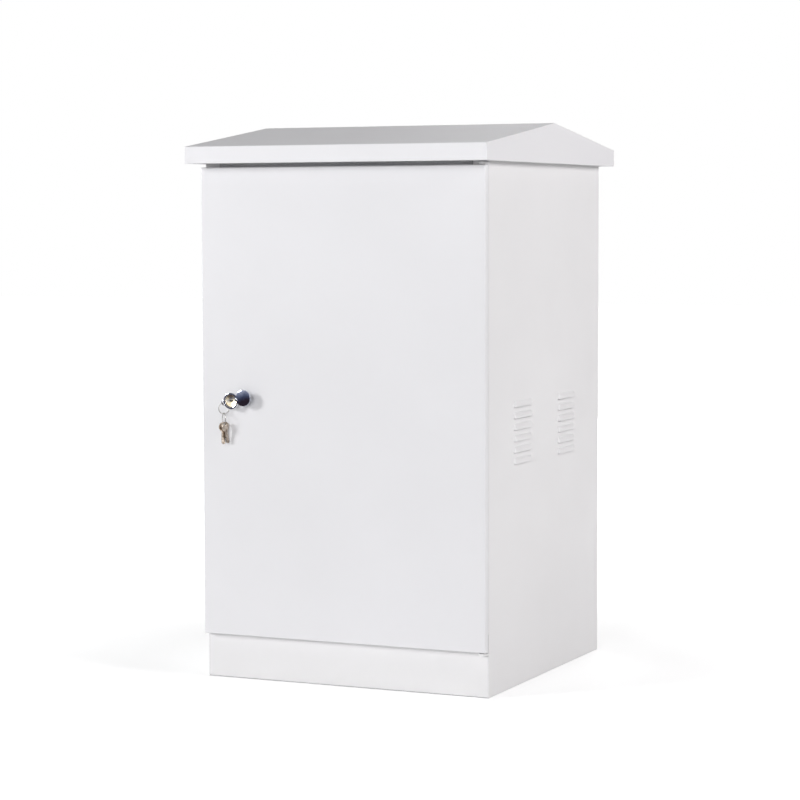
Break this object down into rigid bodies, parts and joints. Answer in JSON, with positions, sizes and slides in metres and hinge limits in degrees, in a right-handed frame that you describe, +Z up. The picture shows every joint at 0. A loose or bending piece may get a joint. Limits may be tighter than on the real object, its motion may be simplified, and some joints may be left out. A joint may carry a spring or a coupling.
{
  "type": "roadside utility cabinet",
  "caption": "White sheet-steel roadside cabinet with an overhanging gable roof, pressed side louvres and a lockable pivoting front door with its keys hanging at the lock.",
  "frame": {"origin": "on the floor, below the middle of the roof", "axes": "+X to the right seen from the front, +Y to the rear, +Z up; the door faces -Y"},
  "size_m": [0.636, 0.692, 1.0909],
  "materials": {
    "white_paint": "white powder coat, satin",
    "zinc_steel": "zinc plated",
    "chrome": "bright chrome",
    "brass": "turned brass",
    "nickel": "nickel plated",
    "rubber": "black rubber",
    "filter_foam": "open filter mat"
  },
  "bodies": {
    "cabinet": {"side_panel_left": "white_paint", "side_panel_right": "white_paint", "rear_panel": "white_paint", "plinth_panel": "white_paint", "header_rail": "white_paint", "top_panel": "white_paint", "floor_panel": "white_paint", "base_rail_left": "zinc_steel", "base_rail_right": "zinc_steel", "roof_cap": "white_paint", "roof_rib_left": "white_paint", "roof_rib_right": "white_paint", "roof_bolts": "zinc_steel", "roof_nuts": "zinc_steel", "hinge_tab_upper": "white_paint", "hinge_tab_lower": "white_paint", "hinge_pin_upper": "zinc_steel", "hinge_pin_lower": "zinc_steel", "gland_plate": "zinc_steel", "gland_screws": "zinc_steel", "grommet_left": "rubber", "grommet_middle": "rubber", "grommet_right": "rubber", "mounting_plate": "zinc_steel", "plate_studs": "zinc_steel", "plate_sleeves": "zinc_steel", "plate_nuts": "zinc_steel", "filter_holder_left": "white_paint", "filter_holder_right": "white_paint", "filter_pad_left": "filter_foam", "filter_pad_right": "filter_foam", "earth_stud": "brass", "earth_nut": "brass"},
    "door": {"door_panel": "white_paint", "door_stiffener_left": "white_paint", "door_stiffener_right": "white_paint", "door_gasket": "rubber", "pivot_block_upper": "zinc_steel", "pivot_block_lower": "zinc_steel", "lock_body": "chrome", "lock_rosette": "chrome", "lock_nut": "zinc_steel", "cap_rivet": "chrome"},
    "lock_cylinder": {"lock_plug": "brass", "lock_cam": "zinc_steel", "cam_screw": "zinc_steel"},
    "dust_cap": {"dust_cap": "chrome"},
    "keys": {"key_ring": "nickel", "key_link": "nickel", "key_front": "nickel", "key_side": "nickel"}
  },
  "joints": [
    {"name": "door_swing", "type": "hinge", "parent": "cabinet", "child": "door", "pos_m": [0.2935, -0.3055, 0.546], "axis": [0, 0, 1], "range_deg": [0, 120]},
    {"name": "lock_turn", "type": "hinge", "parent": "door", "child": "lock_cylinder", "pos_m": [-0.2295, -0.312, 0.551], "axis": [0, 1, 0], "range_deg": [0, 90]},
    {"name": "cap_swing", "type": "hinge", "parent": "door", "child": "dust_cap", "pos_m": [-0.21547, -0.33, 0.55424], "axis": [0, -1, 0], "range_deg": [0, 180]},
    {"name": "key_swing", "type": "hinge", "parent": "door", "child": "keys", "pos_m": [-0.24743, -0.323, 0.54686], "axis": [0, 1, 0], "range_deg": [-12, 45]}
  ]
}
